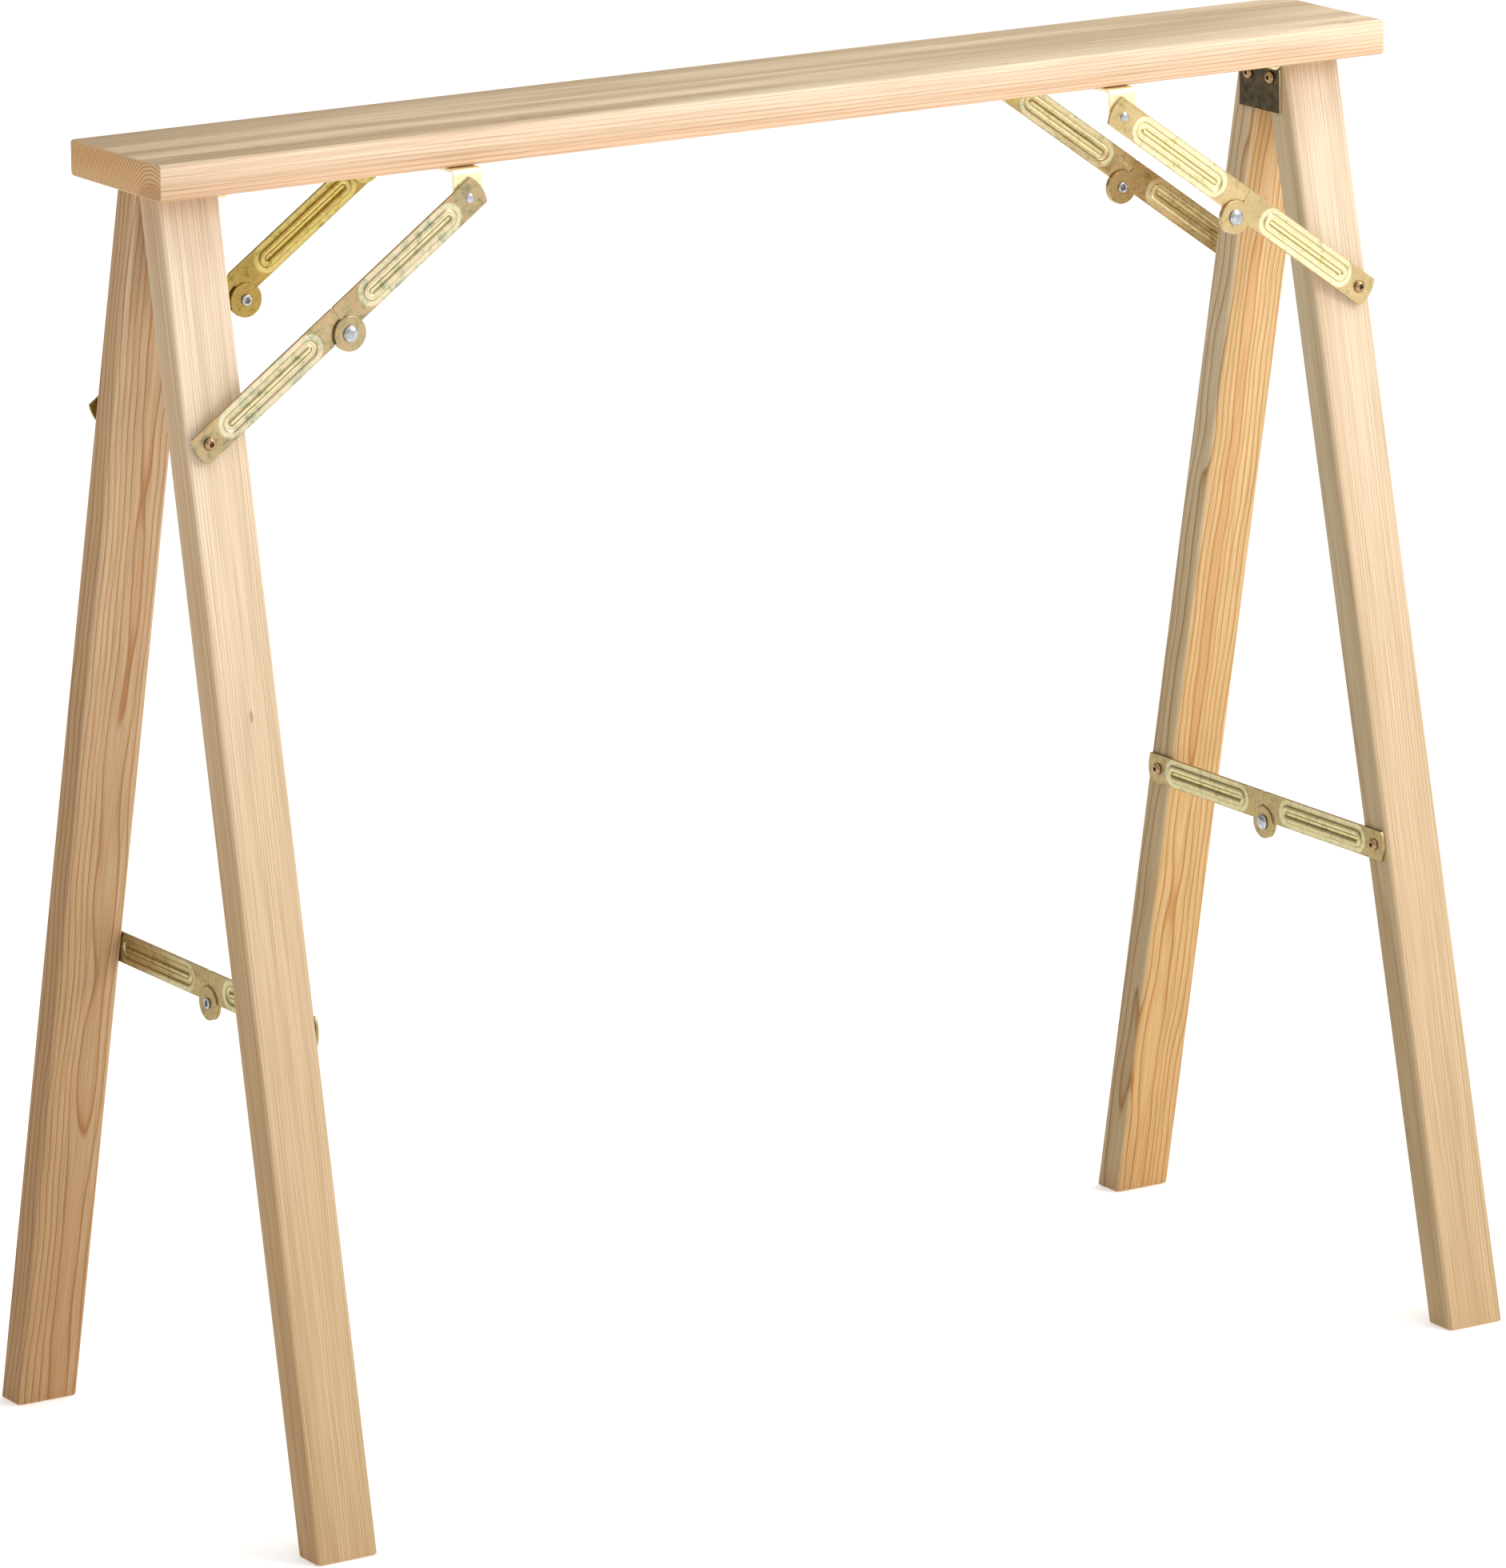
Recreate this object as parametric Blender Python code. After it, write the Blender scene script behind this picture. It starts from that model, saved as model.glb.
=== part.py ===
"""Folding sawhorse: a timber beam on two pairs of splayed legs, held open by jointed steel stays.

Lengths are in millimetres and turned into metres where a mesh is made. Each end is drawn once in
its own frame: origin on the hinge pin, x away from the middle of the beam, z up. The left end is
the same set of pieces turned half a turn about Z.
"""

import math

import bmesh
import bpy
from mathutils import Matrix, Vector
from mathutils.geometry import tessellate_polygon

MM = 0.001
GAP = 0.3  # clearance between pieces that touch
SHEET = 2.0  # strip steel of the stays, brackets and hinge leaves

# Timber
BEAM_LENGTH = 1000.0
BEAM_WIDTH = 125.0
BEAM_THICK = 25.0
BEAM_EDGE = 3.0
HEIGHT = 930.0  # floor to beam top
LEG_WIDE = 47.0  # along the beam
LEG_THICK = 27.0
LEG_EDGE = 3.5
SPLAY = math.radians(12.4)  # each leg away from the middle plane
LEAN = math.radians(0.7)  # each pair of legs away from the middle of the beam
LEG_TOP_GAP = 2.6  # leg top below the beam

# Butt hinges
PIN_X = 432.0  # from the middle of the beam
PIN_R = 2.4
KNUCKLE_IN = 2.75
KNUCKLE_OUT = KNUCKLE_IN + SHEET
HINGE_LONG = 49.0
LEAF_REACH = 37.0
LEAF_CLEAR = 5.3  # leaf edge kept this far from the pin beside the other leaf's knuckle
LEAF_SCREW_X = 24.0
LEAF_SCREW_Y = 13.5
LEG_PIVOT_Z = -12.0

# Stays
STAY_PLANE = 71.0  # middle of the strip, from the middle plane
STAY_TOP = (-164.0, -14.95)  # upper pivot in the end's frame
STAY_LEG = (38.5, -160.0)  # leg screw in the leaned frame
CROSS_Z = -555.0
KNEE_DROP = 12.0  # knee pivot beside the line of the stay
STRIP_WIDE = 22.0
STRIP_OVER = 11.5  # strip beyond its end pivot
DISC_R = 12.2
RECESS_R = 12.5
DISC_IN = 0.15
KNEE_HOLE = 3.1
END_HOLE = 2.3

# Brackets
EAR_OUT = STAY_PLANE - SHEET / 2 - GAP
EAR_R = 11.0
BEND_R = 4.0
FLANGE_END = 40.0
FLANGE_SCREW = 50.0

UNDERSIDE = HEIGHT - BEAM_THICK
PIN_Z = UNDERSIDE - KNUCKLE_OUT - GAP
SHANK_R = 2.0
HOLE_R = SHANK_R + GAP

WOODS = {"timber": (0.80, 0.62, 0.42), "zinc": (0.62, 0.56, 0.34), "bronze": (0.32, 0.24, 0.14),
         "steel": (0.62, 0.62, 0.60)}


def clear_scene():
    for old in list(bpy.data.objects):
        bpy.data.objects.remove(old, do_unlink=True)


def new_mesh(name, points, faces):
    """A closed mesh, in metres, with its faces turned outwards."""
    mesh = bpy.data.meshes.new(name)
    mesh.from_pydata([Vector(p) * MM for p in points], [], faces)
    work = bmesh.new()
    work.from_mesh(mesh)
    bmesh.ops.recalc_face_normals(work, faces=work.faces)
    if work.calc_volume(signed=True) < 0:
        bmesh.ops.reverse_faces(work, faces=work.faces)
    work.to_mesh(mesh)
    work.free()
    return mesh


def arc(centre, radius, start, end, steps):
    """Points on an arc, angles in degrees, both ends included."""
    found = []
    for i in range(steps + 1):
        turn = math.radians(start + (end - start) * i / steps)
        found.append((centre[0] + radius * math.cos(turn), centre[1] + radius * math.sin(turn)))
    return found


def circle(centre, radius, steps=20):
    return arc(centre, radius, 0.0, 360.0 * (steps - 1) / steps, steps - 1)


def rounded(half_u, half_v, radius, steps=3):
    """Outline of a rounded rectangle round the origin."""
    points = []
    for quarter, (su, sv) in enumerate(((1, 1), (-1, 1), (-1, -1), (1, -1))):
        centre = (su * (half_u - radius), sv * (half_v - radius))
        points += arc(centre, radius, quarter * 90.0, quarter * 90.0 + 90.0, steps)
    return points


def plate(loops, low, high, axes="xyz"):
    """A slab between two levels; the first loop is its outline and the others are holes.

    axes names what the two outline coordinates and the level stand for.
    """
    flat = [p for loop in loops for p in loop]
    count = len(flat)
    order = ["xyz".index(letter) for letter in axes]
    points = []
    for level in (low, high):
        for p in flat:
            placed = [0.0, 0.0, 0.0]
            for slot, value in zip(order, (p[0], p[1], level)):
                placed[slot] = value
            points.append(placed)
    faces = []
    for triangle in tessellate_polygon([[Vector((p[0], p[1], 0.0)) for p in loop] for loop in loops]):
        faces.append(tuple(triangle))
        faces.append(tuple(i + count for i in reversed(triangle)))
    start = 0
    for loop in loops:
        size = len(loop)
        for i in range(size):
            j = (i + 1) % size
            faces.append((start + i, start + j, start + j + count, start + i + count))
        start += size
    return new_mesh("plate", points, faces)


def lathe(profile, steps=20, ring=False):
    """A turned piece round z. profile holds (radius, z); with ring set it closes on itself."""
    points = []
    rows = []
    for radius, level in profile:
        if radius < 1e-6:
            rows.append([len(points)])
            points.append((0.0, 0.0, level))
            continue
        rows.append(list(range(len(points), len(points) + steps)))
        for i in range(steps):
            turn = 2 * math.pi * i / steps
            points.append((radius * math.cos(turn), radius * math.sin(turn), level))
    pairs = list(zip(rows, rows[1:]))
    if ring:
        pairs.append((rows[-1], rows[0]))
    faces = []
    for below, above in pairs:
        for i in range(steps):
            j = (i + 1) % steps
            if len(below) == 1:
                faces.append((below[0], above[j], above[i]))
            elif len(above) == 1:
                faces.append((below[i], below[j], above[0]))
            else:
                faces.append((below[i], below[j], above[j], above[i]))
    return new_mesh("turned", points, faces)


def moved(mesh, matrix):
    """A copy of the mesh put through a matrix given in millimetres."""
    copy = mesh.copy()
    scaled = matrix.copy()
    scaled.translation = scaled.translation * MM
    copy.transform(scaled)
    return copy


def carve(base, steps):
    """The base mesh after each Boolean of (operation, mesh)."""
    body = bpy.data.objects.new("body", base)
    bpy.context.scene.collection.objects.link(body)
    helpers = []
    for operation, mesh in steps:
        helper = bpy.data.objects.new("helper", mesh)
        helper.hide_render = True
        helper.display_type = "WIRE"
        bpy.context.scene.collection.objects.link(helper)
        helpers.append(helper)
        change = body.modifiers.new("Carve", "BOOLEAN")
        change.operation = operation
        change.solver = "EXACT"
        change.object = helper
    graph = bpy.context.evaluated_depsgraph_get()
    result = bpy.data.meshes.new_from_object(body.evaluated_get(graph))
    for old in [body] + helpers:
        bpy.data.objects.remove(old, do_unlink=True)
    return result


def along(axis):
    """The turn that puts a turned piece's z axis on the given axis."""
    return Vector((0.0, 0.0, 1.0)).rotation_difference(Vector(axis)).to_matrix().to_4x4()


def bore(centre, axis, radius, length, steps=16):
    """A round cutter from the centre point along the axis."""
    cutter = lathe([(0.0, 0.0), (radius, 0.0), (radius, length), (0.0, length)], steps)
    return moved(cutter, Matrix.Translation(centre) @ along(axis))


MATERIALS = {}


def material(slot):
    if slot not in MATERIALS:
        made = bpy.data.materials.new(slot)
        made.use_nodes = True
        shader = made.node_tree.nodes["Principled BSDF"]
        shader.inputs["Base Color"].default_value = (*WOODS[slot], 1.0)
        shader.inputs["Roughness"].default_value = 0.6 if slot == "timber" else 0.4
        shader.inputs["Metallic"].default_value = 0.0 if slot == "timber" else 1.0
        MATERIALS[slot] = made
    return MATERIALS[slot]


def node(name, mesh, slot, parent=None, matrix=None, smooth=True):
    """One piece as an object. The matrix is in millimetres, in the parent's frame."""
    own = mesh.copy()
    own.name = name
    own.materials.clear()
    own.materials.append(material(slot))
    piece = bpy.data.objects.new(name, own)
    bpy.context.scene.collection.objects.link(piece)
    piece.parent = parent
    placed = (matrix or Matrix.Identity(4)).copy()
    placed.translation = placed.translation * MM
    piece.location = placed.to_translation()
    piece.rotation_euler = placed.to_euler()
    if smooth:
        own.shade_smooth()
        own.set_sharp_from_angle(angle=math.radians(30.0))
    return piece


def empty(name, parent, location, turn):
    made = bpy.data.objects.new(name, None)
    bpy.context.scene.collection.objects.link(made)
    made.parent = parent
    made.location = Vector(location) * MM
    made.rotation_euler = turn
    return made


def joined(meshes):
    """Separate closed meshes in one, for a cutter."""
    work = bmesh.new()
    for mesh in meshes:
        work.from_mesh(mesh)
    result = bpy.data.meshes.new("joined")
    work.to_mesh(result)
    work.free()
    return result


def frame(origin, a, b):
    """Right-handed matrix with columns a, b and a x b."""
    a, b = Vector(a).normalized(), Vector(b).normalized()
    columns = Matrix((a, b, a.cross(b))).transposed().to_4x4()
    return Matrix.Translation(origin) @ columns


# ---- shapes shared by both ends -------------------------------------------------------------


def arm_mesh(half):
    """Strip arm: end pivot at the origin, knee at (half, -KNEE_DROP), disc joggled to -n."""
    edge = STRIP_WIDE / 2
    reach = half - GAP / 2
    outline = [(reach, -edge), (reach, edge)]
    outline += arc((5.0, 0.0), math.hypot(9.0, edge), 180.0 - math.degrees(math.atan2(edge, 9.0)),
                   180.0 + math.degrees(math.atan2(edge, 9.0)), 6)
    over = STRIP_OVER - (math.hypot(9.0, edge) - 5.0)
    outline = [(x - over if x < 0 else x, y) for x, y in outline]
    body = plate([outline, circle((0.0, 0.0), END_HOLE, 16)], -SHEET / 2, SHEET / 2)
    knee = Vector((half, -KNEE_DROP, 0.0))
    disc = bore(knee + Vector((0, 0, -SHEET - DISC_IN)), (0, 0, 1), DISC_R, SHEET, 32)
    recess = bore(knee + Vector((0, 0, -DISC_IN)), (0, 0, 1), RECESS_R, 3.0, 32)
    hole = bore(knee + Vector((0, 0, -5.0)), (0, 0, 1), KNEE_HOLE, 10.0, 16)
    return carve(body, [("DIFFERENCE", recess), ("UNION", disc), ("DIFFERENCE", hole)])


def bracket_mesh():
    """Bracket for the stay on the +y side, its pivot at the origin and its outer face at y = 0."""
    top = -STAY_TOP[1] + KNUCKLE_OUT
    inner_end = FLANGE_END - EAR_OUT
    centre = (-BEND_R, top - BEND_R)
    section = [(inner_end, top)] + arc(centre, BEND_R, 90.0, 0.0, 5)
    section += [(0.0, 0.0), (-SHEET, 0.0)]
    section += arc(centre, BEND_R - SHEET, 0.0, 90.0, 5) + [(inner_end, top - SHEET)]
    strip = plate([section], -EAR_R, EAR_R, "yzx")
    foot = bore((0.0, -SHEET, 0.0), (0, 1, 0), EAR_R, SHEET, 32)
    hole = bore((0.0, -6.0, 0.0), (0, 1, 0), END_HOLE, 12.0)
    screw = bore((0.0, FLANGE_SCREW - EAR_OUT, top - 8.0), (0, 0, 1), HOLE_R, 12.0)
    return carve(strip, [("UNION", foot), ("DIFFERENCE", joined([hole, screw]))])


def leaf_section(tail):
    """Knuckle and plate of the upper leaf in x, z: an open curl round the pin, then the plate."""
    outside = arc((0.0, 0.0), KNUCKLE_OUT, 90.0, -160.0, 20)
    inside = arc((0.0, 0.0), KNUCKLE_IN, -160.0, 90.0, 20)
    return outside + inside + [(-tail, KNUCKLE_IN), (-tail, KNUCKLE_OUT)]


def box(x, y, z):
    return plate([[(x[0], y[0]), (x[1], y[0]), (x[1], y[1]), (x[0], y[1])]], z[0], z[1])


def upper_leaf_mesh():
    half = HINGE_LONG / 2
    third = HINGE_LONG / 6
    whole = plate([leaf_section(LEAF_REACH)], -half, half, "xzy")
    notch = box((-LEAF_CLEAR, 9.0), (-third, third), (-9.0, 9.0))
    holes = [bore((-LEAF_SCREW_X, s * LEAF_SCREW_Y, -2.0), (0, 0, 1), HOLE_R, 12.0) for s in (-1, 1)]
    return carve(whole, [("DIFFERENCE", joined([notch] + holes))])


def lower_leaf_mesh():
    half = HINGE_LONG / 2
    third = HINGE_LONG / 6 - GAP
    section = [(z, x) for x, z in leaf_section(LEAF_REACH)]
    whole = plate([section], -half, half, "xzy")
    notches = [box((-9.0, 9.0), (-half - 1.0, -third), (-LEAF_CLEAR, 9.0)),
               box((-9.0, 9.0), (third, half + 1.0), (-LEAF_CLEAR, 9.0))]
    holes = [bore((-2.0, s * LEAF_SCREW_Y, LEG_PIVOT_Z), (1, 0, 0), HOLE_R, 12.0) for s in (-1, 1)]
    return carve(whole, [("DIFFERENCE", joined(notches + holes))])


def screw_mesh(length, head_r=4.6, head_h=2.3):
    """Pan-head screw: the underside of the head at the origin, the shank towards +z."""
    return lathe([(0.0, -head_h), (head_r * 0.55, -head_h * 0.93), (head_r * 0.86, -head_h * 0.6),
                  (head_r, 0.0), (SHANK_R, 0.0), (SHANK_R, length - 2.0), (0.0, length)], 16)


def joint_rivet_mesh():
    """Rivet at a knee: domed head towards +z, hollow rolled end towards -z."""
    seat = SHEET + DISC_IN + GAP
    shank = KNEE_HOLE - GAP
    return lathe([(0.0, seat + 2.6), (2.4, seat + 2.35), (4.3, seat + 1.5), (5.6, seat + 0.3),
                  (5.6, seat), (shank, seat), (shank, -seat), (4.0, -seat), (4.0, -seat - 0.8),
                  (3.2, -seat - 1.2), (1.9, -seat - 1.2), (1.9, -seat + 2.0), (0.0, -seat + 2.0)], 20)


def top_rivet_mesh():
    """Small rivet through a bracket's ear and an arm: origin on the middle of the arm."""
    out = SHEET / 2 + GAP
    back = -SHEET / 2 - GAP - SHEET - GAP
    return lathe([(0.0, out + 1.1), (1.8, out + 0.9), (3.4, out), (2.0, out), (2.0, back),
                  (3.2, back), (2.4, back - 0.9), (0.0, back - 0.9)], 16)


# ---- the whole ------------------------------------------------------------------------------


def leg_mesh(side):
    """Leg in the leaned frame; side is -1 for the front and 1 for the back."""
    run = Vector((0.0, side * math.sin(SPLAY), -math.cos(SPLAY)))
    across = Vector((0.0, side * math.cos(SPLAY), math.sin(SPLAY)))
    along_x = Vector((1.0, 0.0, 0.0))
    top = KNUCKLE_OUT + GAP - LEG_TOP_GAP
    inner = Vector((0.0, side * GAP / 2, top))
    start = inner + across * (LEG_THICK / 2) + along_x * (KNUCKLE_OUT + GAP + LEG_WIDE / 2)
    floor_normal = Vector((math.sin(LEAN), 0.0, math.cos(LEAN)))
    floor_point = floor_normal * -PIN_Z
    outline = rounded(LEG_WIDE / 2, LEG_THICK / 2, LEG_EDGE)
    points = []
    for normal, origin in ((Vector((0, 0, 1)), Vector((0, 0, top))), (floor_normal, floor_point)):
        for u, v in outline:
            base = start + along_x * u + across * v
            points.append(base + run * ((origin - base).dot(normal) / run.dot(normal)))
    count = len(outline)
    faces = [tuple(range(count)), tuple(range(2 * count - 1, count - 1, -1))]
    for i in range(count):
        j = (i + 1) % count
        faces.append((i, j, j + count, i + count))
    body = new_mesh("leg", points, faces)
    pivot = bore((KNUCKLE_OUT + GAP - 1.0, side * LEAF_SCREW_Y, LEG_PIVOT_Z), (1, 0, 0), HOLE_R, 32.0)
    cross = bore((KNUCKLE_OUT + GAP - 1.0, side * CROSS_Y, CROSS_Z), (1, 0, 0), HOLE_R, 24.0)
    holes = [pivot] if side < 0 else [pivot, cross]
    return carve(body, [("DIFFERENCE", joined(holes))])


def beam_mesh():
    """Beam in the world frame, with blind holes for every screw from below."""
    outline = rounded(BEAM_WIDTH / 2, BEAM_THICK / 2, BEAM_EDGE)
    lifted = [(y, z + UNDERSIDE + BEAM_THICK / 2) for y, z in outline]
    body = plate([lifted], -BEAM_LENGTH / 2, BEAM_LENGTH / 2, "yzx")
    places = []
    for end in (-1, 1):
        for s in (-1, 1):
            places.append((end * (PIN_X - LEAF_SCREW_X), s * LEAF_SCREW_Y))
            places.append((end * (PIN_X + STAY_TOP[0]), s * FLANGE_SCREW))
    holes = [bore((x, y, UNDERSIDE - 2.0), (0, 0, 1), HOLE_R, 20.0) for x, y in places]
    return carve(body, [("DIFFERENCE", joined(holes))])


def lean_point(point):
    """A leaned-frame point (x, z) in the end's own frame."""
    x, z = point
    turn = -LEAN
    return (x * math.cos(turn) + z * math.sin(turn), -x * math.sin(turn) + z * math.cos(turn))


CROSS_TOP = KNUCKLE_OUT + GAP - LEG_TOP_GAP
CROSS_Y = GAP / 2 + LEG_THICK / 2 / math.cos(SPLAY) + (CROSS_TOP - CROSS_Z) * math.tan(SPLAY)
CROSS_X = KNUCKLE_OUT - SHEET / 2


def diagonal_stay(tag, side, base, shapes):
    """Bracket, two arms and their fastenings; side is -1 for the front of the end's own frame."""
    plane = side * STAY_PLANE
    top = Vector((STAY_TOP[0], plane, STAY_TOP[1]))
    low_x, low_z = lean_point(STAY_LEG)
    low = Vector((low_x, plane, low_z))
    a = (low - top).normalized()
    corner = Vector((-a.z, 0.0, a.x))
    knee = (top + low) / 2 - corner * KNEE_DROP
    outward = Vector((0.0, side, 0.0))
    level = Matrix.Rotation(0.0 if side > 0 else math.pi, 4, "Z")
    ear = Matrix.Translation((STAY_TOP[0], side * EAR_OUT, STAY_TOP[1]))
    node(tag + "_bracket", shapes["bracket"], "zinc", base, ear @ level)
    flange = Vector((STAY_TOP[0], side * FLANGE_SCREW, KNUCKLE_IN - GAP))
    node(tag + "_bracket_screw", shapes["short_screw"], "bronze", base, Matrix.Translation(flange))
    node(tag + "_top_rivet", shapes["top_rivet"], "steel", base,
         Matrix.Translation(top) @ along(outward))
    node(tag + "_upper_arm", shapes["arm"], "zinc", base, frame(top, a, corner))
    node(tag + "_lower_arm", shapes["arm"], "zinc", base, frame(low, -a, corner))
    node(tag + "_joint_rivet", shapes["joint_rivet"], "steel", base,
         Matrix.Translation(knee) @ along(outward))
    head = low + outward * (SHEET / 2 + GAP)
    node(tag + "_leg_screw", shapes["stub_screw"], "bronze", base,
         Matrix.Translation(head) @ along(-outward))


def cross_stay(tag, names, base, shapes):
    """Stay between the two legs of a pair, on their faces towards the middle of the beam."""
    back = Vector((CROSS_X, CROSS_Y, CROSS_Z))
    front = Vector((CROSS_X, -CROSS_Y, CROSS_Z))
    knee = (back + front) / 2 - Vector((0.0, 0.0, KNEE_DROP))
    lift = Vector((SHEET / 2 + GAP, 0.0, 0.0))
    up = (0, 0, 1)
    node(tag + "_" + names[1] + "_arm", shapes["cross_arm"], "zinc", base, frame(back, (0, -1, 0), up))
    node(tag + "_" + names[0] + "_arm", shapes["cross_arm"], "zinc", base, frame(front, (0, 1, 0), up))
    node(tag + "_joint_rivet", shapes["joint_rivet"], "steel", base,
         Matrix.Translation(knee) @ along((-1, 0, 0)))
    node(tag + "_" + names[1] + "_screw", shapes["short_screw"], "bronze", base,
         Matrix.Translation(back - lift) @ along((1, 0, 0)))
    node(tag + "_" + names[0] + "_screw", shapes["cross_stub"], "bronze", base,
         Matrix.Translation(front - lift) @ along((1, 0, 0)))


def build_end(tag, names, turn, shapes):
    """One end. names are the world names of its own front (-y) and back (+y)."""
    sign = 1.0 if turn == 0.0 else -1.0
    base = empty(tag + "_pivot", None, (sign * PIN_X, 0.0, PIN_Z), (0.0, 0.0, turn))
    leaned = empty(tag + "_lean", base, (0.0, 0.0, 0.0), (0.0, -LEAN, 0.0))
    node(tag + "_hinge_beam_leaf", shapes["upper_leaf"], "bronze", base)
    node(tag + "_hinge_leg_leaf", shapes["lower_leaf"], "bronze", leaned)
    pin = Matrix.Translation((0.0, -HINGE_LONG / 2, 0.0)) @ along((0, 1, 0))
    node(tag + "_hinge_pin", shapes["pin"], "steel", base, pin)
    for side, name in zip((-1, 1), names):
        spot = Vector((-LEAF_SCREW_X, side * LEAF_SCREW_Y, KNUCKLE_IN - GAP))
        node(f"{tag}_{name}_hinge_screw", shapes["short_screw"], "bronze", base,
             Matrix.Translation(spot))
        pivot = Vector((KNUCKLE_IN - GAP, side * LEAF_SCREW_Y, LEG_PIVOT_Z))
        node(f"{tag}_{name}_pivot_screw", shapes["pivot_screw"], "bronze", leaned,
             Matrix.Translation(pivot) @ along((1, 0, 0)))
        node(f"{tag}_{name}_leg", leg_mesh(side), "timber", leaned)
        diagonal_stay(f"{tag}_{name}", side, base, shapes)
    cross_stay(tag + "_cross", names, leaned, shapes)


def main():
    clear_scene()
    low_x, low_z = lean_point(STAY_LEG)
    half = math.hypot(low_x - STAY_TOP[0], low_z - STAY_TOP[1]) / 2
    shapes = {
        "arm": arm_mesh(half),
        "cross_arm": arm_mesh(CROSS_Y),
        "bracket": bracket_mesh(),
        "upper_leaf": upper_leaf_mesh(),
        "lower_leaf": lower_leaf_mesh(),
        "pin": lathe([(0.0, 0.0), (PIN_R, 0.0), (PIN_R, HINGE_LONG), (0.0, HINGE_LONG)], 20),
        "short_screw": screw_mesh(18.0),
        "pivot_screw": screw_mesh(30.0),
        "stub_screw": screw_mesh(5.3),
        "cross_stub": screw_mesh(2.4),
        "joint_rivet": joint_rivet_mesh(),
        "top_rivet": top_rivet_mesh(),
    }
    node("beam", beam_mesh(), "timber")
    build_end("right", ("front", "back"), 0.0, shapes)
    build_end("left", ("back", "front"), math.pi, shapes)


main()
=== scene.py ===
import math

import bmesh
import bpy
from mathutils import Matrix, Vector
from mathutils.geometry import tessellate_polygon


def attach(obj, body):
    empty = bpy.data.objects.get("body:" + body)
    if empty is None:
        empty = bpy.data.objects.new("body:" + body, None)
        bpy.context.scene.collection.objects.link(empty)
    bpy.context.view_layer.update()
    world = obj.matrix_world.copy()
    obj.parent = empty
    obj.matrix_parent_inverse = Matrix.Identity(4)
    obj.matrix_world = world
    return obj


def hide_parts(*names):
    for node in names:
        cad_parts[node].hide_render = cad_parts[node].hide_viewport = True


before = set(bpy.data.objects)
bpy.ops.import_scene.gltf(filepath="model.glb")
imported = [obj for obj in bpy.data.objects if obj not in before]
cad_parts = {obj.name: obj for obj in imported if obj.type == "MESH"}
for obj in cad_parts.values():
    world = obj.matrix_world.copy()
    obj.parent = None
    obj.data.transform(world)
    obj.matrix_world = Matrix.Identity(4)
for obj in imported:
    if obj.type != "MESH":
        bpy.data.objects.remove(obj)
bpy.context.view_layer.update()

MM = 0.001

# ---- dimensions in millimetres, as in the CAD -------------------------------------------------
GAP, SHEET = 0.3, 2.0  # between pieces that touch, and the thickness of every steel strip
BEAM_LENGTH, BEAM_WIDTH, BEAM_THICK, BEAM_EDGE = 1000.0, 125.0, 25.0, 3.0
HEIGHT = 930.0
LEG_WIDE, LEG_THICK, LEG_EDGE = 47.0, 27.0, 3.5
LEG_TOP_GAP = 2.6  # between a leg's top and the beam
SPLAY, LEAN = math.radians(12.4), math.radians(0.7)  # each leg sideways, each pair outwards
PIN_X, KNUCKLE_OUT, KNUCKLE_IN = 432.0, 4.75, 2.75
SCREW_Y, LEAF_SCREW_X, PIVOT_Z = 13.5, 24.0, -12.0
# the diagonal stays' upright planes, and x, z of their two ends from the hinge pin
STAY_PLANE, STAY_TOP, STAY_LEG = 71.0, (-164.0, -14.95), (38.5, -160.0)
CROSS_Z, KNEE_DROP = -555.0, 12.0  # KNEE_DROP is a knee's distance from its stay's straight line
STRIP_WIDE, STRIP_OVER = 22.0, 11.5
DISC_R, RECESS_R, RECESS_FLARE, DISC_IN = 12.2, 12.5, 2.4, 0.15
KNEE_HOLE, END_HOLE, FLANGE_SCREW = 3.1, 2.3, 50.0
OVAL_START, OVAL_END = 21.0, 30.0  # the pressed oval, from the end pivot and short of the seam
UNDERSIDE = HEIGHT - BEAM_THICK
PIN_Z = UNDERSIDE - KNUCKLE_OUT - GAP
LEG_TOP = KNUCKLE_OUT + GAP - LEG_TOP_GAP
CROSS_X = KNUCKLE_OUT - SHEET / 2
CROSS_Y = GAP / 2 + LEG_THICK / 2 / math.cos(SPLAY) + (LEG_TOP - CROSS_Z) * math.tan(SPLAY)
TOP_PIVOT = Vector((STAY_TOP[0], 0.0, STAY_TOP[1]))
LEG_PIVOT = Matrix.Rotation(-LEAN, 3, "Y") @ Vector((STAY_LEG[0], 0.0, STAY_LEG[1]))
STAY_HALF = (LEG_PIVOT - TOP_PIVOT).length / 2
STAY_OVAL, CROSS_OVAL = (OVAL_START, STAY_HALF - OVAL_END), (OVAL_START, CROSS_Y - OVAL_END)

# ---- sizes that only the looks need, in millimetres -------------------------------------------
ARM_BEVEL, LEAF_BEVEL = 0.28, 0.25
HEAD_R, HEAD_H, SHANK_R = 4.6, 2.3, 2.0
SCREW_LENGTH, PIVOT_LENGTH, STAY_STUB, CROSS_STUB = 18.0, 30.0, 5.3, 2.4
SHANK_IN = 3.3  # how far inside the stay's plane the shank in the leg begins
# the pressed oval: distance from its middle line, and height over the strip
RELIEF = [(6.9, 0.0), (6.55, 0.12), (6.1, 0.60), (5.6, 1.10), (5.0, 1.30), (4.1, 1.32), (3.1, 1.22),
          (2.5, 1.00), (1.9, 0.45), (1.4, 0.05), (0.5, -0.10)]

# the names at -y and at +y of each end's own frame, whose x points out along the beam
ENDS = {"right": ("front", "back"), "left": ("back", "front")}


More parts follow.
